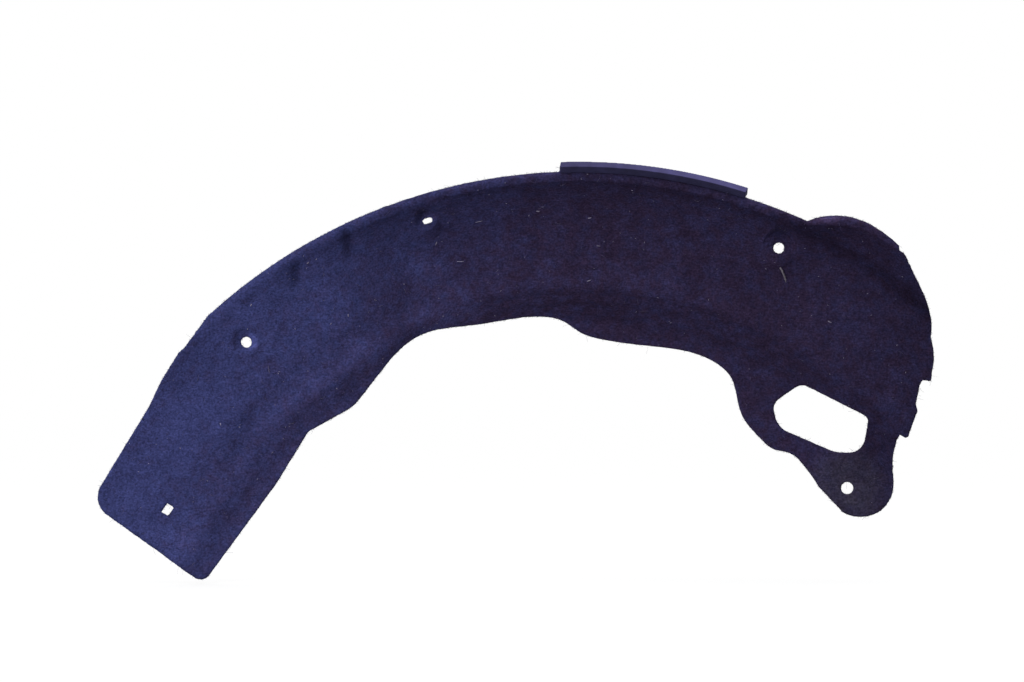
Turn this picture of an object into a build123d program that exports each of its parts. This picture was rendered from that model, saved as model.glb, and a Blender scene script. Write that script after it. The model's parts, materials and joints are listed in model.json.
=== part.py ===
"""Wheel arch liner: one sheet of needle felt pressed to a dished arch, with a foam strip on its rim.

Millimetres. The liner is drawn about the wheel's axle: X runs along the car, Y inboard, Z up, and the
rim's crest lies at Y = 0. It is then moved so that the fixing hole in the end lobe is the origin.
Places on the liner are an angle from the crown and an inset from the rim circle.
"""

import os
from math import copysign, cos, hypot, radians, sin, tan

from build123d import *

# Felt sheet
FELT = 3.0                  # thickness of the pressed felt
RIM_RADIUS = 440.0          # axle to the trimmed rim

# Section of the dish, from the rim inwards
CREST_INSET = 6.0           # width of the rolled rim, seen from the wheel
RIM_LEAN = 45.0             # slope of the rolled rim
CREST_LAND = 4.8            # flat pressed along the crest
WALL_INSET = 30.0           # foot of the outer wall
WALL_DEPTH = 40.0           # crest to the foot of the outer wall
WALL_BEND = 80.0            # sweep from the wall into the shelf
SHELF_DROP = 14.0           # wall foot to the bead
BEAD_INSET = 78.0           # centre of the pressed bead
BEAD_WIDTH = 24.0
BEAD_DEPTH = 4.0            # the bead's valley is pressed to an edge
BEAD_BEND = 12.0            # from the bead into the inner wall
STEP_INSET = 122.0          # foot of the inner wall
STEP_DEPTH = 35.0           # bead to the inner land
STEP_BEND = 24.0
LAND_INSET = 195.0          # the flat land runs past the inner edge
SPARE = 14.0                # sheet beyond the trimmed edges
CUT_REACH = 200.0           # the trimming and punching tools reach this far each way

# Shape along the arch, by the angle from the crown
HAUNCH_END = -33.0          # the dish has flattened out by here
ARCH_START = -14.0          # the section is even from here
ARCH_END = 22.0             # to here
LOBE_ANGLE = 31.0           # the rim has swelled out by here
LOBE_BULGE = 23.0
SHEET_END = 62.0            # end of the sheet, past the trimmed edge
FOOT_ANGLE = -56.0          # from here the liner runs straight down to its foot
FOOT_RUN = 81.0             # length of that straight run
FOOT_SKEW = 6.0             # how much shorter its outer corner is
FOOT_BOW = 4.0              # how far its inner edge bows inwards
FOOT_WALL = 0.3             # share of the outer wall's depth that is left at the foot
FOOT_STEP = 0.35            # share of the inner wall's depth that is left at the foot
FOOT_BEAD_SHIFT = 12.0      # how far the bead has drifted inwards at the foot
FOOT_OUTER_INSET = 18.0
FOOT_INNER_INSET = 128.0
FOOT_OUTER_ROUND = 18.0     # corners of the foot
FOOT_INNER_ROUND = 8.0
BLEND_STEPS = 4             # sections in a blend, after the first

# Fixing holes, punched along Y
CLIP_HOLE = 8.6             # diameter of the shoulder and lobe holes
EAR_HOLE = 10.0
SLOT_LENGTH = 8.6
SLOT_WIDTH = 4.4
SQUARE_ACROSS = 6.2         # square hole, across and along the foot
SQUARE_ALONG = 8.4
SHOULDER_PLACE = (-41.4, 36.0)
SLOT_PLACE = (-16.9, 21.0)
LOBE_PLACE = (23.2, 27.4)
EAR_PLACE = (50.6, 152.0)
SQUARE_RUN = 45.9
SQUARE_INSET = 71.5

# Flat seats pressed round the holes in the wall
SEATS = [(SHOULDER_PLACE, 10.0), (SLOT_PLACE, 8.0), (LOBE_PLACE, 13.0)]
SEAT_BACK_DRAFT = 28.0      # slope of the side below a seat
SEAT_WELL_DRAFT = 10.0      # slope of the side above a seat
SEAT_REACH = 40.0

# Corners of the oval opening in the end, each with its round
OPENING = [
    ((32.5, 141.1), 10.0),
    ((34.4, 113.9), 9.0),
    ((44.6, 100.8), 7.0),
    ((48.1, 123.5), 13.0),
    ((44.9, 139.8), 20.0),
    ((35.5, 154.3), 16.0),
]

# Foam strip stuck on the rolled rim
SEAL_ANGLES = (-2.0, 17.5)
SEAL_INSET = 1.5
SEAL_WIDTH = 6.2
SEAL_HEIGHT = 6.8
SEAL_SLANT = 15.0           # both ends are cut on this slant
SEAL_GLUE = 0.2             # thickness of the glue under it
SEAL_MARGIN = 0.6           # felt that shows behind it
SEAL_SPARE = 2.0            # degrees of strip past each slanted cut


def at(angle, inset):
    """Place on the arch in X and Z."""
    reach = RIM_RADIUS - inset
    return (reach * sin(radians(angle)), reach * cos(radians(angle)))


def foot_at(run, inset):
    """Place on the straight foot, by the distance past its start."""
    x, z = at(FOOT_ANGLE, inset)
    return (x - run * cos(radians(FOOT_ANGLE)), z + run * sin(radians(FOOT_ANGLE)))


def section_plane(angle):
    """Plane of a section: local x is the distance from the axle, local y the depth."""
    outwards = (sin(radians(angle)), 0, cos(radians(angle)))
    along = (-cos(radians(angle)), 0, sin(radians(angle)))
    return Plane((0, 0, 0), x_dir=outwards, z_dir=along)


def section_corners(bulge, fade):
    """Corners of the pressed face that looks at the wheel, with the bend at each corner."""
    wall = WALL_DEPTH * (1 - (1 - FOOT_WALL) * fade)
    shelf = wall + SHELF_DROP
    land = shelf + STEP_DEPTH * (1 - (1 - FOOT_STEP) * fade)
    bead = RIM_RADIUS - BEAD_INSET - FOOT_BEAD_SHIFT * fade
    crest = RIM_RADIUS + bulge - CREST_INSET
    tail = CREST_INSET + SPARE
    lean = tan(radians(RIM_LEAN))
    rise = wall / (WALL_INSET - CREST_INSET)
    flat_depth = CREST_LAND / (1 / lean + 1 / rise)
    return [
        (crest + tail, tail * lean, 0),
        (crest + flat_depth / lean, flat_depth, 0),
        (crest - flat_depth / rise, flat_depth, 0),
        (RIM_RADIUS + bulge - WALL_INSET, wall, WALL_BEND),
        (bead + BEAD_WIDTH / 2, shelf, 0),
        (bead, shelf + BEAD_DEPTH, 0),
        (bead - BEAD_WIDTH / 2, shelf, BEAD_BEND),
        (RIM_RADIUS - STEP_INSET, land, STEP_BEND),
        (RIM_RADIUS - LAND_INSET, land, 0),
    ]


def back_corners(corners, skin):
    """Corners of the face SKIN behind the pressed face: bends stay concentric, and edges stay edges."""
    ways = []
    for (reach, depth, _), (next_reach, next_depth, _) in zip(corners, corners[1:]):
        length = hypot(next_reach - reach, next_depth - depth)
        ways.append(((next_reach - reach) / length, (next_depth - depth) / length))
    moved = []
    for (reach, depth, bend), before, after in zip(corners, ways[:1] + ways, ways + ways[-1:]):
        mitre = skin / (1 + before[0] * after[0] + before[1] * after[1])
        turn = before[0] * after[1] - before[1] * after[0]
        if bend:
            bend += copysign(skin, turn)
        moved.append((reach + mitre * (before[1] + after[1]), depth - mitre * (before[0] + after[0]), bend))
    return moved


def depth_at(inset, fade):
    """Depth of the pressed face below the crest, corner to corner."""
    corners = section_corners(0, fade)
    reach = RIM_RADIUS - inset
    for (outer, near, _), (inner, far, _) in zip(corners[1:], corners[2:]):
        if inner <= reach <= outer:
            return near + (far - near) * (outer - reach) / (outer - inner)
    return corners[-1][1]


def section_face(plane, bulge, fade, skin):
    """Section through all that lies behind the pressed face, or behind the face SKIN deeper."""
    corners = back_corners(section_corners(bulge, fade), skin)
    path = FilletPolyline(
        [(reach, depth) for reach, depth, _ in corners],
        radius=[bend for _, _, bend in corners[1:-1]],
    )
    back = WALL_DEPTH + SHELF_DROP + STEP_DEPTH + SEAT_REACH + skin
    inner, outer = path @ 1, path @ 0
    close = Polyline(inner, (inner.X, back), (outer.X, back), outer)
    return plane * make_face(path.edges() + close.edges())


def cone_along_y(place, depth, near_radius, far_radius, length):
    """Cone from DEPTH to DEPTH + LENGTH along Y."""
    x, z = place
    turn = Plane((x, depth + length / 2, z), x_dir=(1, 0, 0), z_dir=(0, 1, 0))
    return turn * Cone(near_radius, far_radius, length)


def seat_depth(place):
    """Depth of the flat seat at a hole in the wall."""
    angle, inset = place
    return depth_at(inset, fade_at(angle))


def press_seat(block, place, radius, skin):
    """Flat seat: built up where the wall falls back below it, sunk where the wall stands above it."""
    back, well = radians(SEAT_BACK_DRAFT), radians(SEAT_WELL_DRAFT)
    low = radius - skin * (1 - sin(back)) / cos(back)
    high = radius + skin * (1 - sin(well)) / cos(well)
    seat = seat_depth(place) + skin
    boss = cone_along_y(at(*place), seat, low, low + SEAT_REACH * tan(back), SEAT_REACH)
    hollow = cone_along_y(at(*place), seat - SEAT_REACH, high + SEAT_REACH * tan(well), high, SEAT_REACH)
    return block + boss - hollow


def eased(share):
    """Ease in and out, so that a blend leaves and meets the even stretches without a kink."""
    return share * share * (3 - 2 * share)


def fade_at(angle):
    """How far the dish has flattened out, from 0 on the even arch to 1 at the foot."""
    gone = (ARCH_START - angle) / (ARCH_START - HAUNCH_END)
    return eased(max(0, min(gone, 1)))


def pressed_block(skin):
    """Everything behind the pressed face, or behind the felt's other face."""
    haunch = []
    swell = []
    for step in range(BLEND_STEPS + 1):
        part_way = step / BLEND_STEPS
        angle = ARCH_START + (HAUNCH_END - ARCH_START) * part_way
        haunch.append(section_face(section_plane(angle), 0, eased(part_way), skin))
        angle = ARCH_END + (LOBE_ANGLE - ARCH_END) * part_way
        swell.append(section_face(section_plane(angle), LOBE_BULGE * eased(part_way), 0, skin))
    foot = section_face(section_plane(FOOT_ANGLE), 0, 1, skin)
    arch = section_face(section_plane(ARCH_START), 0, 0, skin)
    lobe = section_face(section_plane(LOBE_ANGLE), LOBE_BULGE, 0, skin)
    block = revolve(arch, Axis.Y, ARCH_END - ARCH_START)
    block += loft(swell)
    block += revolve(lobe, Axis.Y, SHEET_END - LOBE_ANGLE)
    block += loft(haunch)
    block += revolve(foot, Axis.Y, HAUNCH_END - FOOT_ANGLE)
    block += extrude(foot, FOOT_RUN + SPARE)
    for place, radius in SEATS:
        block = press_seat(block, place, radius, skin)
    return block


def trim_outline():
    """Edge that the pressed felt is trimmed to, clockwise from the shoulder, seen from the wheel."""
    rim = ThreePointArc(at(-42.5, 0), at(-10.0, 0), at(24.6, 0))
    lobe = Spline(rim @ 1, at(26.6, -12.6), at(29.2, -20), at(31.8, -21), at(34.0, -18.8))
    tooth = Polyline(lobe @ 1, at(34.3, -15.8), at(34.9, -16.3))
    end = Spline(tooth @ 1, at(38.5, -3.2), at(41.0, 6.7), at(42.8, 18.5))
    tabs = Polyline(
        end @ 1, at(42.9, 20), at(44.1, 25.5), at(45.0, 31), at(46.6, 45), at(45.8, 49.5), at(46.1, 54),
        at(47.4, 66), at(48.3, 69), at(50.2, 90), at(49.1, 92.5), at(49.4, 96.5), at(50.3, 103),
    )
    ear = Spline(tabs @ 1, at(53.0, 115), at(55.4, 124.5), at(56.7, 140), at(55.6, 158.5), at(53.4, 167))
    chin = Line(ear @ 1, at(47.4, 169))
    wave = Spline(
        chin @ 1, at(42.6, 165), at(39.5, 165.5), at(37.0, 171), at(33.9, 170), at(29.6, 163),
        at(27.6, 154), at(25.1, 139), at(22.2, 132.5), at(17.0, 131), at(9.8, 135), at(4.5, 134.5),
        at(0.5, 129), at(-1.9, 120), at(-6.7, 114), at(-15.4, 111.5), at(-21.0, 106), at(-25.9, 109.8),
    )
    haunch = Polyline(
        wave @ 1, at(-27.5, 112.8), at(-35.5, 129.5), at(-36.9, 129.5),
        foot_at(-69, FOOT_INNER_INSET + FOOT_BOW / 2),
    )
    foot = FilletPolyline(
        haunch @ 1,
        foot_at(-18, FOOT_INNER_INSET + FOOT_BOW),
        foot_at(FOOT_RUN, FOOT_INNER_INSET),
        foot_at(FOOT_RUN - FOOT_SKEW, FOOT_OUTER_INSET),
        foot_at(-15.6, FOOT_OUTER_INSET - FOOT_BOW),
        radius=[0, FOOT_INNER_ROUND, FOOT_OUTER_ROUND],
    )
    shoulder = Polyline(foot @ 1, at(-50.9, 8.9), at(-47.4, 4.5), at(-46.7, 5.2), rim @ 0)
    pieces = [rim, lobe, tooth, end, tabs, ear, chin, wave, haunch, foot, shoulder]
    return make_face([edge for piece in pieces for edge in piece.edges()])


def seal_tab():
    """Ledge of rim felt that carries the foam strip."""
    reach = SEAL_INSET - SEAL_WIDTH * cos(radians(RIM_LEAN)) - SEAL_MARGIN
    start, end = SEAL_ANGLES
    middle = (start + end) / 2
    outer = ThreePointArc(at(start, reach), at(middle, reach), at(end, reach))
    inner = ThreePointArc(at(end, CREST_INSET), at(middle, CREST_INSET), at(start, CREST_INSET))
    sides = [Line(outer @ 1, inner @ 0), Line(inner @ 1, outer @ 0)]
    return make_face(outer.edges() + inner.edges() + [side.edge() for side in sides])


def along_y(sketch):
    """Straight cutter of a plan outline, through the whole depth."""
    return extrude(Plane.XZ * sketch, CUT_REACH, both=True)


def punches():
    """Fixing holes and the oval opening, as plan outlines."""
    round_holes = [(SHOULDER_PLACE, CLIP_HOLE), (LOBE_PLACE, CLIP_HOLE), (EAR_PLACE, EAR_HOLE)]
    holes = [Pos(*at(*place)) * Circle(width / 2) for place, width in round_holes]
    holes.append(Pos(*at(*SLOT_PLACE)) * Rot(0, 0, -SLOT_PLACE[0]) * SlotOverall(SLOT_LENGTH, SLOT_WIDTH))
    square = Rectangle(SQUARE_ALONG, SQUARE_ACROSS)
    holes.append(Pos(*foot_at(SQUARE_RUN, SQUARE_INSET)) * Rot(0, 0, -FOOT_ANGLE) * square)
    corners = [at(*place) for place, _ in OPENING]
    oval = FilletPolyline(corners, radius=[corner_round for _, corner_round in OPENING], close=True)
    holes.append(make_face(oval.edges()))
    return holes


def felt_liner():
    """The pressed sheet, trimmed and punched."""
    sheet = pressed_block(0) & along_y(trim_outline() + seal_tab())
    sheet -= pressed_block(FELT)
    for hole in punches():
        sheet -= along_y(hole)
    return sheet


def seal_strip():
    """Foam strip, square in section, following the rim."""
    lean = radians(RIM_LEAN)
    reach = RIM_RADIUS - SEAL_INSET + SEAL_GLUE * sin(lean)
    depth = (CREST_INSET - SEAL_INSET) * tan(lean) - SEAL_GLUE * cos(lean)
    across = (SEAL_WIDTH * cos(lean), SEAL_WIDTH * sin(lean))
    up = (SEAL_HEIGHT * sin(lean), -SEAL_HEIGHT * cos(lean))
    corners = [
        (reach, depth),
        (reach + across[0], depth + across[1]),
        (reach + across[0] + up[0], depth + across[1] + up[1]),
        (reach + up[0], depth + up[1]),
    ]
    start, end = SEAL_ANGLES
    profile = section_plane(start - SEAL_SPARE) * make_face(Polyline(*corners, close=True).edges())
    strip = revolve(profile, Axis.Y, end - start + 2 * SEAL_SPARE)
    for angle, keep in ((start, Keep.BOTTOM), (end, Keep.TOP)):
        cut = section_plane(angle)
        slant = Plane(
            cut.from_local_coords((RIM_RADIUS, 0, 0)),
            x_dir=cut.x_dir,
            z_dir=cut.z_dir.rotate(Axis((0, 0, 0), cut.x_dir), -SEAL_SLANT),
        )
        strip = split(strip, slant, keep=keep)
    return strip


def main():
    x, z = at(*LOBE_PLACE)
    home = Pos(-x, -seat_depth(LOBE_PLACE) - FELT / 2, -z)
    os.makedirs("parts", exist_ok=True)
    export_step(home * felt_liner(), "parts/felt_liner.step")
    export_step(home * seal_strip(), "parts/seal_strip.step")


main()
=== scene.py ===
"""Wheel arch liner: a dished arch of pressed needle felt, with a foam seal strip stuck on its rim."""
import json
import math

import bmesh
import bpy
import numpy as np
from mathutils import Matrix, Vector, kdtree, noise
from mathutils.bvhtree import BVHTree


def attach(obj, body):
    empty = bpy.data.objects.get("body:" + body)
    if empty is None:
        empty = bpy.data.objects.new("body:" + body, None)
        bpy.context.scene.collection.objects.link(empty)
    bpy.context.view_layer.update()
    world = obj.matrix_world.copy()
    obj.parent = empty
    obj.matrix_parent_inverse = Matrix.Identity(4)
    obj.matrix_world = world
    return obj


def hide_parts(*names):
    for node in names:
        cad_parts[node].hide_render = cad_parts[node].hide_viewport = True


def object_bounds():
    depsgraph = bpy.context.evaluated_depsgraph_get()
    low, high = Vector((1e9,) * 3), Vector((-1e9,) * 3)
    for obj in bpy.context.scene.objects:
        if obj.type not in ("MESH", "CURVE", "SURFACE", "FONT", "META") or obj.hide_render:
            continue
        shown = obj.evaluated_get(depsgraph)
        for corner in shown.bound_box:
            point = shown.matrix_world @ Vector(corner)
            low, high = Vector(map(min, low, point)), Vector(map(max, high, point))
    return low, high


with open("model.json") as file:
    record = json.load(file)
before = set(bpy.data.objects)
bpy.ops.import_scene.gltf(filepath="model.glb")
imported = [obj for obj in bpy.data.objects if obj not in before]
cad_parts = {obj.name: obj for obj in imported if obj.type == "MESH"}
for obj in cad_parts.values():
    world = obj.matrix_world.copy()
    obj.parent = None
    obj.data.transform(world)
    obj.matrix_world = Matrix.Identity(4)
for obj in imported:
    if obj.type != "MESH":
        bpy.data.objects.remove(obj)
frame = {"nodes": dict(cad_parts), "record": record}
cad_low, cad_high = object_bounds()
scene = bpy.context.scene
scene.view_settings.view_transform = "Standard"


# Camera: square on to the wheel side of the liner, far back with a long lens, so that the arch is
# seen almost without perspective. One pixel is 0.8 mm at the crest of the rim.
camera = bpy.data.objects.new("camera", bpy.data.cameras.new("camera"))
scene.collection.objects.link(camera)
camera.data.lens = 135
camera.data.sensor_width = 36
camera.location = (-0.21606, -3.10917, -0.07524)
camera.rotation_euler = (math.radians(90), 0, 0)
scene.camera = camera


# Needle felt: a mat of dyed polyester staple fibres, needled together, then heated and pressed in a
# mould to a stiff dished arch and trimmed along its edge. It is fixed through its five punched holes.
def linear(hex_colour):
    """Linear RGBA from an sRGB hex colour."""
    channels = [int(hex_colour[i:i + 2], 16) / 255 for i in (1, 3, 5)]
    return [c / 12.92 if c <= 0.04045 else ((c + 0.055) / 1.055) ** 2.4 for c in channels] + [1.0]


def add_node(tree, kind, settings, inputs):
    """One node, with its settings by name, and each input set to a value or linked from an output."""
    node = tree.nodes.new(kind)
    for name, value in settings.items():
        setattr(node, name, value)
    for key, value in inputs.items():
        if isinstance(value, bpy.types.NodeSocket):
            tree.links.new(value, node.inputs[key])
        else:
            node.inputs[key].default_value = value
    return node


def new_material(name):
    """An empty node material, and its tree."""
    material = bpy.data.materials.new(name)
    material.use_nodes = True
    material.node_tree.nodes.clear()
    return material, material.node_tree


def sharp_edges(solid, step):
    """Points along the sharp edges of a solid, to look up the nearest, and how far each edge turns."""
    sharp = math.radians(40)
    points, turns = [], []
    for edge in solid.edges:
        turn = edge.calc_face_angle(0)
        if turn > sharp:
            for share in np.linspace(0, 1, 2 + int(edge.calc_length() / step)):
                points.append(edge.verts[0].co.lerp(edge.verts[1].co, share))
                turns.append(turn)
    nearest = kdtree.KDTree(len(points))
    for i, point in enumerate(points):
        nearest.insert(point, i)
    nearest.balance()
    return nearest, turns


def soft_copy(node, name, voxel, wear, hold, kept):
    """A new piece over a solid's own shape, in small faces, worn round at its edges.

    In each round of wear the points are first held to the solid's edge where they lie within so many
    voxels of it, the first number for a square edge and the second for a thin one. In the end a share
    of the faces is kept.
    """
    weld = 1e-5
    points_per_voxel = 8
    square_to_thin = np.radians((85, 110))
    mesh = frame["nodes"][node].data.copy()
    welded = bmesh.new()
    welded.from_mesh(mesh)
    bmesh.ops.remove_doubles(welded, verts=welded.verts, dist=weld)
    edges, turns = sharp_edges(welded, voxel / points_per_voxel)
    welded.to_mesh(mesh)
    welded.free()
    solid = bpy.data.objects.new(name + "_solid", mesh)
    rough = bpy.data.objects.new(name + "_rough", mesh)
    scene.collection.objects.link(solid)
    scene.collection.objects.link(rough)
    remesh = rough.modifiers.new("remesh", "REMESH")
    remesh.mode = "VOXEL"
    remesh.voxel_size = voxel
    even = rough.modifiers.new("even", "SMOOTH")
    even.factor = 0.5
    even.iterations = 3
    back = rough.modifiers.new("back", "SHRINKWRAP")
    back.target = solid
    back.wrap_method = "NEAREST_SURFACEPOINT"
    depsgraph = bpy.context.evaluated_depsgraph_get()
    soft = bpy.data.meshes.new_from_object(rough.evaluated_get(depsgraph))
    bpy.data.objects.remove(rough)
    bpy.data.objects.remove(solid)
    worn = bmesh.new()
    worn.from_mesh(soft)
    for _ in range(wear):
        for point in worn.verts:
            place, i, away = edges.find(point.co)
            if away < voxel * np.interp(turns[i], square_to_thin, hold):
                point.co = place
        bmesh.ops.smooth_vert(
            worn, verts=worn.verts, factor=0.4, use_axis_x=True, use_axis_y=True, use_axis_z=True,
        )
    worn.to_mesh(soft)
    worn.free()
    piece = bpy.data.objects.new(name, soft)
    scene.collection.objects.link(piece)
    thin = piece.modifiers.new("thin", "DECIMATE")
    thin.ratio = kept
    depsgraph = bpy.context.evaluated_depsgraph_get()
    piece.data = bpy.data.meshes.new_from_object(piece.evaluated_get(depsgraph))
    piece.modifiers.clear()
    piece.data.materials.clear()
    piece.data.shade_smooth()
    return piece, edges


def read(mesh_part, field, width):
    """One field of a mesh's points or faces, as an array of rows."""
    values = np.zeros(len(mesh_part) * width, np.float32)
    mesh_part.foreach_get(field, values)
    return values.reshape(-1, width).astype(float)


felt, felt_edges = soft_copy(
    "felt_liner", "felt_shell", voxel=0.0017, wear=2, hold=(0.65, 1.5), kept=0.8,
)

# The foot's square hole and the crown's slot are punched, so they are sharp in plan.
PUNCH_REACH = 0.009         # metres from the middle of the hole
PUNCH_SNAP = 0.0012         # metres from the solid's edge
PUNCH_SHARE = 0.96          # of the way to that edge, so that no two points meet
mounts = {mount["name"]: Vector(mount["pos_m"]) for mount in frame["record"]["mounts"]}
for hole in (mounts["foot_square_hole"], mounts["crown_slot"]):
    for point in felt.data.vertices:
        place, _, away = felt_edges.find(point.co)
        if (point.co - hole).length < PUNCH_REACH and away < PUNCH_SNAP:
            point.co = point.co.lerp(place, PUNCH_SHARE)

# The pressed seats and the bead have no sharp sides in felt: the mat rounds over them, and on the foot
# the bead has nearly gone.
AXLE = (-0.16254, -0.37924)             # X and Z of the wheel's axle
RIM = 0.440                             # radius of the rim
STRAIGHT = math.radians(-56)            # from the crown to where the foot runs straight
FLATTENED = math.radians(-44)           # from the crown to where the bead fades
SEAT_RING = (0.0065, 0.026)             # from the hole's middle to near its edge, and to the seat's end
BEAD_BAND = (0.062, 0.112)              # from the rim inwards
EDGE_ON = 0.3                           # less than this share of a trimmed edge's normal is along Y
SEAT_ROUNDS = 110
BEAD_ROUNDS = 24
FOOT_ROUNDS = 130
seats = [mounts[name] for name in ("lobe_hole", "shoulder_hole", "crown_slot")]
pressed = bmesh.new()
pressed.from_mesh(felt.data)
on_seats, on_bead, on_foot = [], [], []
for point in pressed.verts:
    across, upwards = point.co.x - AXLE[0], point.co.z - AXLE[1]
    angle = math.atan2(across, upwards)
    if angle > STRAIGHT:
        inset = RIM - math.hypot(across, upwards)
    else:
        inset = RIM - across * math.sin(STRAIGHT) - upwards * math.cos(STRAIGHT)
    away = min(math.hypot(point.co.x - x, point.co.z - z) for x, _, z in seats)
    if SEAT_RING[0] < away < SEAT_RING[1]:
        on_seats.append(point)
    elif BEAD_BAND[0] < inset < BEAD_BAND[1] and abs(point.normal.y) > EDGE_ON:
        (on_bead if angle > FLATTENED else on_foot).append(point)
for points, rounds in ((on_seats, SEAT_ROUNDS), (on_bead, BEAD_ROUNDS), (on_foot, FOOT_ROUNDS)):
    for _ in range(rounds):
        bmesh.ops.smooth_vert(pressed, verts=points, factor=0.5, use_axis_y=True)
pressed.to_mesh(felt.data)
pressed.free()

# The pressed sheet never lies quite true: shallow waves a hand wide, lumps where the fibres bunch, two
# folds where the rim was pulled over the shoulder of the mould, a crease down the foot, and a dish where
# the clip was pushed into the shoulder. Shade is painted into the folds, the crease, the inner edge of the
# haunch and a band under the rim, and more painted shade darkens the end towards the lobe, where less
# light falls. Highlights are painted on the lobe's edge, on the lit side of the lobe's seat and on the lit
# side of the clip's dish. Some other places are made paler.
WAVES = ((0.060, 0.0012), (0.024, 0.0005))          # wavelength and height, metres
LUMPS = ((0.0075, 0.00020), (0.0042, 0.00012))
PIXELS = (1024, 682)
PIXEL = 0.0008                          # metres of the rim's crest in one pixel
MARKS = (           # pixels of both ends, width and depth in metres, darkening (paling where negative)
    ((297, 258), (294, 294), 0.0045, 0.0030, 0.42),         # the two folds, with painted shade in them
    ((345, 224), (349, 262), 0.0045, 0.0030, 0.42),
    ((258, 394), (216, 484), 0.0070, 0.0016, 0.26),         # the foot's crease, with painted shade in it
    ((806, 222), (846, 217), 0.0016, 0.0, -1.0),            # the lobe's edge, a painted highlight
    ((762, 244), (777, 227), 0.0040, 0.0, -0.55),           # the lit side of the lobe's seat, a painted highlight
    ((395, 276), (455, 268), 0.0180, 0.0, -0.25),           # the shelf below the crown's slot
    ((405, 322), (500, 312), 0.0100, 0.0, -0.45),           # the inner wall
    ((330, 404), (368, 392), 0.0120, 0.0, 0.20),            # the inner edge of the haunch, painted shade
    ((205, 335), (262, 300), 0.0200, 0.0, -0.15),           # the shoulder
    ((140, 520), (215, 566), 0.0120, 0.0, -0.18),           # the foot's end
)
RIM_SHADE_START = math.radians(-54)           # from the crown to where the painted shade under the rim begins
RIM_SHADE_RAMP = math.radians(8)              # from there to where it is fully so
RIM_SHADE_INSET = 0.0070                      # from the rim inwards
RIM_SHADE_WIDTH = 0.0060
RIM_PAINTED_SHADE = 0.30
FALLOFF_SPAN = (0.030, 0.110)               # X where the painted shade of the light's fall-off begins, and where it is darkest
FALLOFF_PAINTED_SHADE = 0.22
CLIP_DISH = (0.0043, 0.0130)            # from the hole's middle to its edge, and to the dish's end
CLIP_DEPTH = 0.0028
DISH_HIGHLIGHT_RING = 0.0068                      # from the hole's middle to the painted highlight on the dish's lit side, towards the lobe
DISH_HIGHLIGHT_WIDTH = 0.0020
DISH_PAINTED_HIGHLIGHT = 1.0
places = read(felt.data.vertices, "co", 3)
normals = read(felt.data.vertex_normals, "vector", 3)
painted_light_and_tone = np.zeros(len(places))
for i, (x, y, z) in enumerate(places):
    wave = sum(height * noise.noise((x / length, 0.0, z / length)) for length, height in WAVES)
    lump = sum(height * noise.noise((x / length, y / length, z / length)) for length, height in LUMPS)
    places[i] += normals[i] * lump
    places[i, 1] += wave
for start, end, width, depth, darkening in MARKS:
    start_x, end_x = [camera.location.x + (pixel - PIXELS[0] / 2) * PIXEL for pixel in (start[0], end[0])]
    start_z, end_z = [camera.location.z + (PIXELS[1] / 2 - pixel) * PIXEL for pixel in (start[1], end[1])]
    length = math.hypot(end_x - start_x, end_z - start_z)
    way_x, way_z = (end_x - start_x) / length, (end_z - start_z) / length
    along = (places[:, 0] - start_x) * way_x + (places[:, 2] - start_z) * way_z
    aside = (places[:, 0] - start_x) * way_z - (places[:, 2] - start_z) * way_x
    sink = np.clip(3 * np.minimum(along, length - along) / length, 0, 1) * np.exp(-(aside / width) ** 2)
    places[:, 1] += depth * sink
    painted_light_and_tone += darkening * sink
from_axle = np.hypot(places[:, 0] - AXLE[0], places[:, 2] - AXLE[1])
past_start = np.arctan2(places[:, 0] - AXLE[0], places[:, 2] - AXLE[1]) - RIM_SHADE_START
# painted shade in a band under the rim
under_rim = np.exp(-(((RIM - from_axle) - RIM_SHADE_INSET) / RIM_SHADE_WIDTH) ** 2)
painted_light_and_tone += RIM_PAINTED_SHADE * (np.clip(past_start / RIM_SHADE_RAMP, 0, 1) * under_rim)
# painted shade, darker towards the lobe's end where less light falls
painted_light_and_tone += FALLOFF_PAINTED_SHADE * np.clip((places[:, 0] - FALLOFF_SPAN[0]) / (FALLOFF_SPAN[1] - FALLOFF_SPAN[0]), 0, 1)
clip = mounts["shoulder_hole"]
away = np.hypot(places[:, 0] - clip.x, places[:, 2] - clip.z)
dish = np.clip((CLIP_DISH[1] - away) / (CLIP_DISH[1] - CLIP_DISH[0]), 0, 1)
places[:, 1] += CLIP_DEPTH * dish * dish * (3 - 2 * dish)
# painted highlight on the dish's lit side, towards the lobe
lit_side = np.clip((places[:, 0] - clip.x) / np.maximum(away, CLIP_DISH[0]), 0, 1)
painted_light_and_tone -= DISH_PAINTED_HIGHLIGHT * lit_side * np.exp(-((away - DISH_HIGHLIGHT_RING) / DISH_HIGHLIGHT_WIDTH) ** 2)
felt.data.vertices.foreach_set("co", places.ravel())
# painted shade and highlights, and the paler patches, kept on the felt's points for its colour
felt.data.attributes.new("painted_light_and_tone", "FLOAT", "POINT").data.foreach_set("value", painted_light_and_tone)
felt.data.update()

# Needle felt to the eye: matt, no gloss at all, a soft nap that lightens at grazing angles, short
# fibres lying every way, and two dye lots carded together, unevenly mixed. Over them a painted tint
# makes the felt bluer and paler towards the foot, the side the light comes from, and darker violet
# towards the lobe, and the painted shade and highlights and the paler patches kept in the mesh darken
# and lighten it. Round the ear's hole it is greyed by road dust.
needle_felt, tree = new_material("needle_felt")
FIBRE_LENGTH = 0.0045       # metres, as are the sizes below
FIBRE_WIDTH = 0.0010        # drawn about thirty times too coarse, so that it shows
FIBRE_TURNS = (10, 57, 101, 149)        # degrees, the ways in which the fibres lie
FIBRE_TILT = (0.3, -0.2)                # share of each turn by which they also tip out of the sheet
FLECK = 0.0016              # knots of fibre, drawn about twice too coarse
TUFT = 0.012                # where the mat is thicker
DYE_PATCH = 0.009           # where one dye lot prevails
BATCH = 0.055               # as the carding machine laid it
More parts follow.
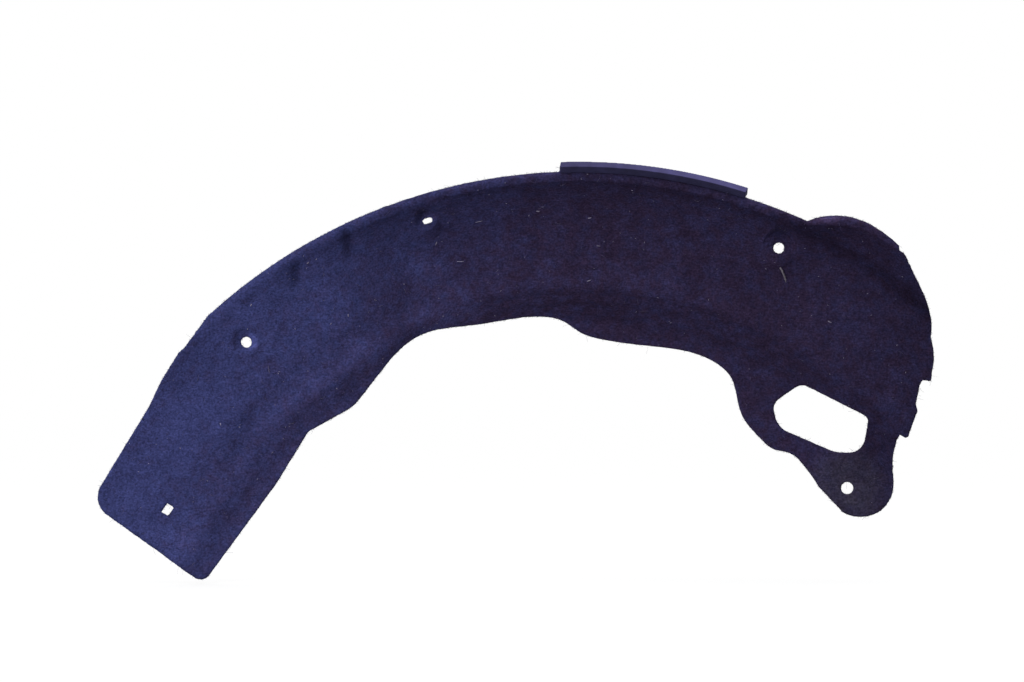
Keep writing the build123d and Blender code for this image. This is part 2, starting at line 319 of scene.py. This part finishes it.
INDIGO = linear("#32365f")
VIOLET = linear("#31273f")
PAINTED_TINT_SLANT = (1.0, 0.0, -0.55)           # painted light: the colour drifts this way, bluer and paler towards the foot, where the light comes from
PAINTED_TINT_SPAN = (-0.400, -0.200)             # over this span, metres along the slant
PAINTED_TINT_SHIFT = (-1.15, -0.33)              # from nearly all indigo to mostly violet
PATCH_WEIGHT = 1.7
BATCH_WEIGHT = 0.6
ROAD_DUST = linear("#3c3948")
DUST_REACH = 0.045          # from the ear's hole
DUST_WEIGHT = 1.3
surface = add_node(tree, "ShaderNodeTexCoord", {}, {}).outputs["Object"]
strands = None
for turn in FIBRE_TURNS:
    lay = add_node(tree, "ShaderNodeMapping", {}, {
        "Vector": surface,
        "Rotation": [math.radians(turn * share) for share in (FIBRE_TILT[0], 1, FIBRE_TILT[1])],
        "Scale": (1 / FIBRE_LENGTH, 1 / FIBRE_WIDTH, 1 / FIBRE_WIDTH),
    })
    strand = add_node(tree, "ShaderNodeTexNoise", {}, {
        "Vector": lay.outputs[0], "Scale": 1.0, "Detail": 2.0, "Roughness": 0.6, "Distortion": 0.6,
    }).outputs[0]
    if strands is None:
        strands = strand
    else:
        strands = add_node(tree, "ShaderNodeMath", {"operation": "MAXIMUM"}, {
            0: strands, 1: strand,
        }).outputs[0]
flecks = add_node(tree, "ShaderNodeTexNoise", {}, {
    "Vector": surface, "Scale": 1 / FLECK, "Detail": 1.0, "Roughness": 0.5,
}).outputs[0]
tufts = add_node(tree, "ShaderNodeTexNoise", {}, {
    "Vector": surface, "Scale": 1 / TUFT, "Detail": 4.0, "Roughness": 0.65,
}).outputs[0]
dye_mix = add_node(tree, "ShaderNodeTexNoise", {}, {
    "Vector": surface, "Scale": 1 / DYE_PATCH, "Detail": 4.0, "Roughness": 0.72,
}).outputs[0]
batches = add_node(tree, "ShaderNodeTexNoise", {}, {
    "Vector": surface, "Scale": 1 / BATCH, "Detail": 2.0, "Roughness": 0.6,
}).outputs[0]
slant = add_node(tree, "ShaderNodeVectorMath", {"operation": "DOT_PRODUCT"}, {
    0: surface, 1: PAINTED_TINT_SLANT,
}).outputs["Value"]
# painted tint of the light: bluer and paler towards the foot, more violet towards the lobe
painted_tint = add_node(tree, "ShaderNodeMapRange", {}, {
    "Value": slant, "From Min": PAINTED_TINT_SPAN[0], "From Max": PAINTED_TINT_SPAN[1],
    "To Min": PAINTED_TINT_SHIFT[0], "To Max": PAINTED_TINT_SHIFT[1],
}).outputs[0]
batches_and_painted_tint = add_node(tree, "ShaderNodeMath", {"operation": "MULTIPLY_ADD"}, {
    0: batches, 1: BATCH_WEIGHT, 2: painted_tint,
}).outputs[0]
dye_and_painted_tint_share = add_node(tree, "ShaderNodeMath", {"operation": "MULTIPLY_ADD", "use_clamp": True}, {
    0: dye_mix, 1: PATCH_WEIGHT, 2: batches_and_painted_tint,
}).outputs[0]
dyed_and_painted_tint = add_node(tree, "ShaderNodeMix", {"data_type": "RGBA"}, {
    0: dye_and_painted_tint_share, 6: INDIGO, 7: VIOLET,
}).outputs[2]
off_ear = add_node(tree, "ShaderNodeVectorMath", {"operation": "DISTANCE"}, {
    0: surface, 1: mounts["ear_hole"],
}).outputs["Value"]
dusty = add_node(tree, "ShaderNodeMapRange", {"interpolation_type": "SMOOTHSTEP"}, {
    "Value": off_ear, "From Min": DUST_REACH / 4, "From Max": DUST_REACH,
    "To Min": DUST_WEIGHT, "To Max": 0.0,
}).outputs[0]
dusty = add_node(tree, "ShaderNodeMath", {"operation": "MULTIPLY", "use_clamp": True}, {
    0: dusty, 1: tufts,
}).outputs[0]
dyed_and_painted_tint = add_node(tree, "ShaderNodeMix", {"data_type": "RGBA"}, {0: dusty, 6: dyed_and_painted_tint, 7: ROAD_DUST}).outputs[2]
painted_light_tone = add_node(tree, "ShaderNodeAttribute", {"attribute_name": "painted_light_and_tone"}, {}).outputs["Fac"]
shade = None
for pattern, low_value, high_value, low_shade, high_shade in (
    (strands, 0.45, 0.80, 0.75, 1.40),
    (flecks, 0.30, 0.70, 0.70, 1.30),
    (tufts, 0.30, 0.70, 0.84, 1.16),
    (batches, 0.30, 0.70, 1.06, 0.94),
    # painted shade and highlights from the mesh, and its paler patches
    (painted_light_tone, -1.0, 1.0, 2.0, 0.0),
):
    part_shade = add_node(tree, "ShaderNodeMapRange", {}, {
        "Value": pattern, "From Min": low_value, "From Max": high_value,
        "To Min": low_shade, "To Max": high_shade,
    }).outputs[0]
    if shade is None:
        shade = part_shade
    else:
        shade = add_node(tree, "ShaderNodeMath", {"operation": "MULTIPLY"}, {
            0: shade, 1: part_shade,
        }).outputs[0]
shaded = add_node(tree, "ShaderNodeVectorMath", {"operation": "SCALE"}, {
    0: dyed_and_painted_tint, "Scale": shade,
}).outputs[0]
lumpy = add_node(tree, "ShaderNodeBump", {}, {"Height": tufts, "Distance": 0.0006, "Strength": 0.5})
matted = add_node(tree, "ShaderNodeBump", {}, {
    "Height": strands, "Distance": 0.0007, "Strength": 0.7, "Normal": lumpy.outputs[0],
})
felt_skin = add_node(tree, "ShaderNodeBsdfPrincipled", {}, {
    "Base Color": shaded,
    "Roughness": 0.95,
    "Specular IOR Level": 0.02,
    "Sheen Weight": 0.05,
    "Sheen Roughness": 0.3,
    "Sheen Tint": linear("#8f8fd0"),
    "Normal": matted.outputs[0],
})
add_node(tree, "ShaderNodeOutputMaterial", {}, {"Surface": felt_skin.outputs[0]})
felt.data.materials.append(needle_felt)
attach(felt, "root")
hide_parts("felt_liner")


# Nap: loose polyester fibres that the needling pulled out of the mat. They lie over both faces of the
# felt, each with its ends still in it, and stand out as a short fuzz along the trimmed edges.
def fibre_piece(name, starts, rises, ways, lengths, widths, lifts, curls, rings):
    """One mesh of closed three-sided prisms, each a fibre that arches over the surface it starts from."""
    share = np.linspace(0, 1, rings)
    sides = np.cross(rises, ways)
    path = starts[:, None] + ways[:, None] * (lengths[:, None] * share)[:, :, None]
    path += sides[:, None] * (curls[:, None] * share * share)[:, :, None]
    path += rises[:, None] * (lifts[:, None] * 4 * share * (1 - share))[:, :, None]
    corners = np.radians([90, 210, 330])
    round_about = np.cos(corners)[None, :, None] * sides[:, None]
    round_about = round_about + np.sin(corners)[None, :, None] * rises[:, None]
    points = path[:, :, None] + round_about[:, None] * (widths[:, None, None, None] / 2)
    first = np.arange(len(starts))[:, None] * rings * 3
    quads = [
        [ring * 3 + k, ring * 3 + (k + 1) % 3, ring * 3 + 3 + (k + 1) % 3, ring * 3 + 3 + k]
        for ring in range(rings - 1) for k in range(3)
    ]
    last = (rings - 1) * 3
    faces = [(first + np.array(quad)).tolist() for quad in quads]
    faces += [(first + np.array(cap)).tolist() for cap in ([0, 2, 1], [last, last + 1, last + 2])]
    mesh = bpy.data.meshes.new(name)
    mesh.from_pydata(points.reshape(-1, 3).tolist(), [], [face for group in faces for face in group])
    mesh.shade_smooth()
    piece = bpy.data.objects.new(name, mesh)
    scene.collection.objects.link(piece)
    return piece


def scattered(weights, count, picker):
    """Points picked over the felt's faces, with each point's normal and a random way along the face."""
    faces = picker.choice(len(weights), size=count, p=weights / weights.sum())
    rises = read(felt.data.polygons, "normal", 3)[faces]
    ways = picker.normal(size=(count, 3))
    ways -= rises * (ways * rises).sum(1, keepdims=True)
    ways /= np.linalg.norm(ways, axis=1, keepdims=True)
    spread = 0.0008         # half a face, metres
    starts = read(felt.data.polygons, "center", 3)[faces]
    starts = starts + ways * picker.uniform(-spread, spread, (count, 1))
    return starts, rises, ways


SEED = 7
LYING = 7000                            # fibres on the faces
LYING_LENGTH = (0.0025, 0.0070)         # metres, as are the sizes below
LYING_LIFT = (0.0003, 0.0007)
LYING_CURL = 0.0012
FUZZ = 2200                             # fibres on the trimmed edges
FUZZ_LENGTH = (0.0007, 0.0020)
FUZZ_LIFT = (0.0, 0.0003)
FUZZ_CURL = 0.0004
FUZZ_STAND = (0.2, 1.2)                 # how steeply they stand
FIBRE_THICK = (0.00011, 0.00017)        # drawn about five times too coarse, so that it shows
SUNK = 0.00015                          # the ends are in the felt
picker = np.random.default_rng(SEED)
areas = read(felt.data.polygons, "area", 1)[:, 0]
trimmed = areas * (np.abs(read(felt.data.polygons, "normal", 3)[:, 1]) < EDGE_ON)
starts, rises, ways = scattered(areas, LYING, picker)
edge_starts, edge_rises, edge_ways = scattered(trimmed, FUZZ, picker)
stand = edge_ways + edge_rises * picker.uniform(*FUZZ_STAND, (FUZZ, 1))
stand /= np.linalg.norm(stand, axis=1, keepdims=True)
lean = edge_rises - stand * (stand * edge_rises).sum(1, keepdims=True)
lean /= np.linalg.norm(lean, axis=1, keepdims=True)
nap = fibre_piece(
    "nap_fibres",
    np.concatenate([starts - rises * SUNK, edge_starts - edge_rises * SUNK]),
    np.concatenate([rises, lean]),
    np.concatenate([ways, stand]),
    np.concatenate([picker.uniform(*LYING_LENGTH, LYING), picker.uniform(*FUZZ_LENGTH, FUZZ)]),
    picker.uniform(*FIBRE_THICK, LYING + FUZZ),
    np.concatenate([picker.uniform(*LYING_LIFT, LYING), picker.uniform(*FUZZ_LIFT, FUZZ)]),
    np.concatenate([picker.normal(0, LYING_CURL, LYING), picker.normal(0, FUZZ_CURL, FUZZ)]),
    rings=4,
)
# Loose polyester fibre: the felt's own two dyes, each fibre its own shade, a few nearly undyed.
loose_fibre, tree = new_material("loose_polyester_fibre")
each = add_node(tree, "ShaderNodeNewGeometry", {}, {}).outputs["Random Per Island"]
shades = add_node(tree, "ShaderNodeValToRGB", {}, {0: each})
for position, colour in ((0.3, "#33305a"), (0.6, "#3a3050"), (0.9, "#454162"), (0.98, "#5f5b76")):
    shades.color_ramp.elements.new(position).color = linear(colour)
shades.color_ramp.elements[0].color = linear("#25264a")
shades.color_ramp.elements[-1].color = linear("#7d798c")
fibre_skin = add_node(tree, "ShaderNodeBsdfPrincipled", {}, {
    "Base Color": shades.outputs[0],
    "Roughness": 0.7,
    "Specular IOR Level": 0.05,
})
add_node(tree, "ShaderNodeOutputMaterial", {}, {"Surface": fibre_skin.outputs[0]})
nap.data.materials.append(loose_fibre)
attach(nap, "root")


# Lint: specks of pale fluff and dust, caught in the felt in use and held by its fibres. Most lie
# anywhere, and the largest lie where the photograph shows them: along the crown and on the haunch.
LINT_PIXELS = (             # pixel across and down, length in metres, degrees from level
    (436.4, 243.4, 0.0034, 75), (478.9, 221.6, 0.0058, 12), (347.9, 315.6, 0.0022, 120),
    (538.0, 211.1, 0.0026, 5), (829.5, 322.2, 0.0030, -40), (308.0, 263.0, 0.0022, 30),
    (460.4, 261.6, 0.0056, 0), (220.6, 424.2, 0.0022, 90), (588.9, 280.7, 0.0030, 20),
    (598.5, 245.8, 0.0030, 2), (589.7, 218.1, 0.0028, 8), (330.8, 323.8, 0.0020, 60),
    (272.5, 452.5, 0.0020, 45), (268.9, 369.4, 0.0066, 98), (251.0, 305.0, 0.0020, 70),
)
LINT_WIDTH = 0.0012
FREE_LINT = 380                         # specks that lie anywhere
FREE_LENGTH = (0.0006, 0.0014)
FREE_WIDTH = (0.0005, 0.0009)
LINT_LIFT = (0.0001, 0.0003)
LINT_CURL = 0.0004
shell = BVHTree.FromPolygons(
    [tuple(point) for point in places], [tuple(face.vertices) for face in felt.data.polygons],
)


def seen_at(pixel_x, pixel_y):
    """Place and normal of the felt that the camera sees at a pixel."""
    width = camera.data.sensor_width / camera.data.lens / PIXELS[0]
    ray = Vector(((pixel_x - PIXELS[0] / 2) * width, 1, (PIXELS[1] / 2 - pixel_y) * width))
    place, normal, _, _ = shell.ray_cast(camera.location, ray.normalized())
    return place, normal


starts, rises, ways = scattered(areas, FREE_LINT, picker)
lengths = picker.uniform(*FREE_LENGTH, FREE_LINT)
for pixel_x, pixel_y, length, turn in LINT_PIXELS:
    place, normal = seen_at(pixel_x, pixel_y)
    way = Vector((math.cos(math.radians(turn)), 0, math.sin(math.radians(turn))))
    way = (way - normal * way.dot(normal)).normalized()
    starts = np.vstack([starts, place - way * length / 2])
    rises = np.vstack([rises, normal])
    ways = np.vstack([ways, way])
    lengths = np.append(lengths, length)
count = len(lengths)
widths = np.append(picker.uniform(*FREE_WIDTH, FREE_LINT), np.full(len(LINT_PIXELS), LINT_WIDTH))
lint = fibre_piece(
    "lint", starts - rises * SUNK, rises, ways, lengths, widths,
    picker.uniform(*LINT_LIFT, count), picker.normal(0, LINT_CURL, count), rings=5,
)
# Pale fluff: undyed cotton and dust, matt, each speck its own grey.
pale_fluff, tree = new_material("pale_fluff")
each = add_node(tree, "ShaderNodeNewGeometry", {}, {}).outputs["Random Per Island"]
shades = add_node(tree, "ShaderNodeValToRGB", {}, {0: each})
shades.color_ramp.elements[0].color = linear("#474360")
shades.color_ramp.elements[1].color = linear("#948ea4")
fluff_skin = add_node(tree, "ShaderNodeBsdfPrincipled", {}, {
    "Base Color": shades.outputs[0],
    "Roughness": 0.9,
    "Specular IOR Level": 0.2,
})
add_node(tree, "ShaderNodeOutputMaterial", {}, {"Surface": fluff_skin.outputs[0]})
lint.data.materials.append(pale_fluff)
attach(lint, "root")


# Straw: one bent piece of dry straw under the lobe's hole, blown in from the road. It lies on the felt
# and its ends are caught in the fibres.
STRAW_PIXELS = ((780.0, 267.5), (788.6, 281.0))     # its two ends
STRAW_WIDTH = 0.0020
STRAW_LIFT = 0.0004
STRAW_BEND = -0.0024
GRAIN = 0.0012
place, normal = seen_at(*STRAW_PIXELS[0])
far_place, _ = seen_at(*STRAW_PIXELS[1])
way = (far_place - place).normalized()
rise = (normal - way * normal.dot(way)).normalized()
straw = fibre_piece(
    "straw", np.array([place]), np.array([rise]), np.array([way]), np.array([(far_place - place).length]),
    np.array([STRAW_WIDTH]), np.array([STRAW_LIFT]), np.array([STRAW_BEND]), rings=9,
)
# Dry straw: greyed by weather, matt, with a fine mottled grain.
dry_straw, tree = new_material("dry_straw")
surface = add_node(tree, "ShaderNodeTexCoord", {}, {}).outputs["Object"]
grain = add_node(tree, "ShaderNodeTexNoise", {}, {
    "Vector": surface, "Scale": 1 / GRAIN, "Detail": 2.0,
}).outputs[0]
straw_colour = add_node(tree, "ShaderNodeMix", {"data_type": "RGBA"}, {
    0: grain, 6: linear("#5f5766"), 7: linear("#8d8790"),
}).outputs[2]
straw_skin = add_node(tree, "ShaderNodeBsdfPrincipled", {}, {
    "Base Color": straw_colour,
    "Roughness": 0.8,
    "Specular IOR Level": 0.2,
})
add_node(tree, "ShaderNodeOutputMaterial", {}, {"Surface": straw_skin.outputs[0]})
straw.data.materials.append(dry_straw)
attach(straw, "root")


# Seal strip: a square strip of closed-cell foam, cut from sheet and stuck along the rolled rim, where
# it closes the gap to the wing. Its knife-cut faces are smooth, with fine pores.
seal, _ = soft_copy("seal_strip", "foam_seal", voxel=0.00045, wear=2, hold=(0, 0), kept=0.8)

# Closed-cell foam to the eye: matt, with fine pores, with painted light on its upper face, most of all
# towards the lobe, and painted shade on its lower face.
foam, tree = new_material("closed_cell_foam")
PORE = 0.0011               # metres, drawn about three times too coarse, so that it shows
CLOUD = 0.008               # uneven tone over the cut faces
TOP_LIGHT_SPAN = (-0.175, -0.075)          # X over which the painted light on the upper face grows
TOP_LIGHT_START = 0.35
surface = add_node(tree, "ShaderNodeTexCoord", {}, {}).outputs["Object"]
pores = add_node(tree, "ShaderNodeTexVoronoi", {}, {
    "Vector": surface, "Scale": 1 / PORE,
}).outputs["Distance"]
clouds = add_node(tree, "ShaderNodeTexNoise", {}, {
    "Vector": surface, "Scale": 1 / CLOUD, "Detail": 4.0,
}).outputs[0]
tone = add_node(tree, "ShaderNodeMapRange", {}, {
    "Value": clouds, "From Min": 0.3, "From Max": 0.7, "To Min": 0.0, "To Max": 1.0,
}).outputs[0]
# painted light and shade: lighter where the face turns up, darker where it turns down
facing = add_node(tree, "ShaderNodeNewGeometry", {}, {}).outputs["Normal"]
upward = add_node(tree, "ShaderNodeSeparateXYZ", {}, {0: facing}).outputs[2]
painted_top_light = add_node(tree, "ShaderNodeMapRange", {}, {
    "Value": upward, "From Min": -0.4, "From Max": 0.4, "To Min": 0.0, "To Max": 1.0,
}).outputs[0]
along = add_node(tree, "ShaderNodeSeparateXYZ", {}, {0: surface}).outputs[0]
top_light_growth = add_node(tree, "ShaderNodeMapRange", {}, {
    "Value": along, "From Min": TOP_LIGHT_SPAN[0], "From Max": TOP_LIGHT_SPAN[1],
    "To Min": TOP_LIGHT_START, "To Max": 1.0,
}).outputs[0]
painted_top_light = add_node(tree, "ShaderNodeMath", {"operation": "MULTIPLY"}, {
    0: painted_top_light, 1: top_light_growth,
}).outputs[0]
shaded_foam = add_node(tree, "ShaderNodeMix", {"data_type": "RGBA"}, {
    0: tone, 6: linear("#28263e"), 7: linear("#302e4b"),
}).outputs[2]
lit_foam = add_node(tree, "ShaderNodeMix", {"data_type": "RGBA"}, {
    0: tone, 6: linear("#3f3c62"), 7: linear("#484570"),
}).outputs[2]
foam_colour = add_node(tree, "ShaderNodeMix", {"data_type": "RGBA"}, {
    0: painted_top_light, 6: shaded_foam, 7: lit_foam,
}).outputs[2]
pitted = add_node(tree, "ShaderNodeBump", {}, {"Height": pores, "Distance": 0.0003, "Strength": 0.4})
foam_skin = add_node(tree, "ShaderNodeBsdfPrincipled", {}, {
    "Base Color": foam_colour,
    "Roughness": 0.7,
    "Specular IOR Level": 0.08,
    "Normal": pitted.outputs[0],
})
add_node(tree, "ShaderNodeOutputMaterial", {}, {"Surface": foam_skin.outputs[0]})
seal.data.materials.append(foam)
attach(seal, "root")
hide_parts("seal_strip")


# Floor: a pale paper sweep, level, just under the foot of the liner. To the camera it is as white as
# the backdrop, apart from the shadow on it.
floor_mesh = bpy.data.meshes.new("floor")
FLOOR_REACH = 8.0
FLOOR_GAP = 0.003                       # room for the fuzz under the foot
FLOOR_GLOW = 0.785                      # with the light that it scatters, this makes white
ground = cad_low.z - FLOOR_GAP
sweep = [(-1, -1), (1, -1), (1, 1), (-1, 1)]
floor_mesh.from_pydata([(x * FLOOR_REACH, y * FLOOR_REACH, ground) for x, y in sweep], [], [(0, 1, 2, 3)])
floor = bpy.data.objects.new("floor", floor_mesh)
scene.collection.objects.link(floor)

# Pale paper: matt and without grain. It glows only where it is seen, so that it adds no light.
paper, tree = new_material("pale_paper")


def seen_directly(tree):
    """1 for the rays that show a surface to the camera, straight, mirrored or through glass."""
    rays = add_node(tree, "ShaderNodeLightPath", {}, {})
    seen = add_node(tree, "ShaderNodeMath", {"operation": "ADD"}, {
        0: rays.outputs["Is Camera Ray"], 1: rays.outputs["Is Glossy Ray"],
    })
    return add_node(tree, "ShaderNodeMath", {"operation": "ADD", "use_clamp": True}, {
        0: seen.outputs[0], 1: rays.outputs["Is Transmission Ray"],
    }).outputs[0]


glow = add_node(tree, "ShaderNodeMath", {"operation": "MULTIPLY"}, {0: seen_directly(tree), 1: FLOOR_GLOW})
matt = add_node(tree, "ShaderNodeBsdfDiffuse", {}, {"Color": linear("#7a7a7a")})
lift = add_node(tree, "ShaderNodeEmission", {}, {"Color": linear("#ffffff"), "Strength": glow.outputs[0]})
both = add_node(tree, "ShaderNodeAddShader", {}, {0: matt.outputs[0], 1: lift.outputs[0]})
add_node(tree, "ShaderNodeOutputMaterial", {}, {"Surface": both.outputs[0]})
floor_mesh.materials.append(paper)


# Light: the even white of a studio all round, which the camera sees as the backdrop, a small soft box
# in front of the foot, so that the light falls off towards the lobe, and one over the crown.
def soft_box(name, place, target, width, power, colour):
    """Square area lamp that faces a target."""
    lamp = bpy.data.objects.new(name, bpy.data.lights.new(name, "AREA"))
    scene.collection.objects.link(lamp)
    lamp.data.size = width
    lamp.data.energy = power
    lamp.data.color = colour
    lamp.location = place
    lamp.rotation_euler = (Vector(target) - Vector(place)).to_track_quat("-Z", "Y").to_euler()
    lamp.visible_camera = False


soft_box(
    "key", place=(-0.80, -0.60, -0.20), target=(-0.45, 0.0, -0.12),
    width=0.3, power=4.5, colour=(0.94, 0.96, 1.0),
)
soft_box(
    "overhead", place=(-0.10, -0.25, 0.95), target=(-0.12, 0.0, 0.0),
    width=0.4, power=4.0, colour=(0.96, 0.96, 1.0),
)
world = bpy.data.worlds.new("white_room")
scene.world = world
world.use_nodes = True
tree = world.node_tree
tree.nodes.clear()
room = add_node(tree, "ShaderNodeBackground", {}, {"Color": linear("#ffffff"), "Strength": 1.1})
backdrop = add_node(tree, "ShaderNodeBackground", {}, {"Color": linear("#ffffff"), "Strength": 1.0})
shown = add_node(tree, "ShaderNodeMixShader", {}, {
    0: seen_directly(tree), 1: room.outputs[0], 2: backdrop.outputs[0],
})
add_node(tree, "ShaderNodeOutputWorld", {}, {"Surface": shown.outputs[0]})
